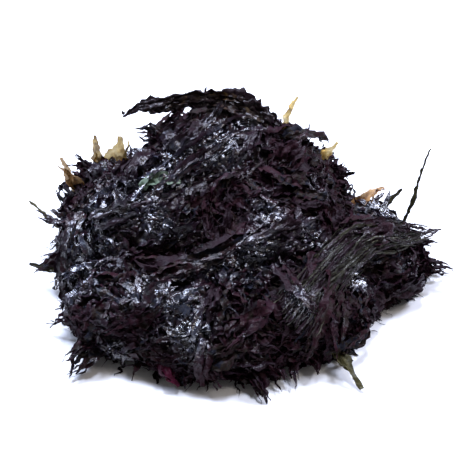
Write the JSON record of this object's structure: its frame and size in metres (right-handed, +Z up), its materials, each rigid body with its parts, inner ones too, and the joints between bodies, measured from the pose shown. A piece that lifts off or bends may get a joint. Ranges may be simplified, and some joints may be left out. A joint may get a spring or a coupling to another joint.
{
  "type": "heap of dried laver",
  "caption": "Low domed heap of loose, shrivelled, near-black seaweed fronds, with ragged tips at its rim, a combed bundle of strands on one side and a few amber, olive and red flakes.",
  "frame": {"origin": "middle of the heap's bounding box, on the surface it rests on", "axes": "+Z up; +X to the right in the picture, along the heap's longest side, toward the strand bundle; +Y away from the picture's viewer"},
  "size_m": [0.2188, 0.2103, 0.0837],
  "materials": {
    "laver": "satin",
    "amber": "satin",
    "olive": "satin",
    "green": "satin",
    "brown": "satin",
    "red": "satin"
  },
  "bodies": {
    "root": {"clump_back": "laver", "clump_back_left": "laver", "clump_back_right": "laver", "clump_centre_left": "laver", "clump_centre_right": "laver", "clump_crown_left": "laver", "clump_crown_right": "laver", "clump_front": "laver", "clump_front_left": "laver", "clump_front_right": "laver", "clump_left": "laver", "clump_right": "laver", "frond_amber_crown": "amber", "frond_amber_left": "amber", "frond_amber_right": "amber", "frond_amber_wide": "amber", "frond_brown_left": "brown", "frond_brown_right": "brown", "frond_crest": "laver", "frond_green": "green", "frond_olive_front": "olive", "frond_olive_left": "olive", "frond_olive_right": "olive", "frond_over_crown": "laver", "frond_over_front": "laver", "frond_over_middle": "laver", "frond_red_front": "red", "frond_spike": "olive", "frond_stalk": "olive", "strand_lower": "laver", "strand_middle": "laver", "strand_upper": "laver"}
  },
  "joints": []
}
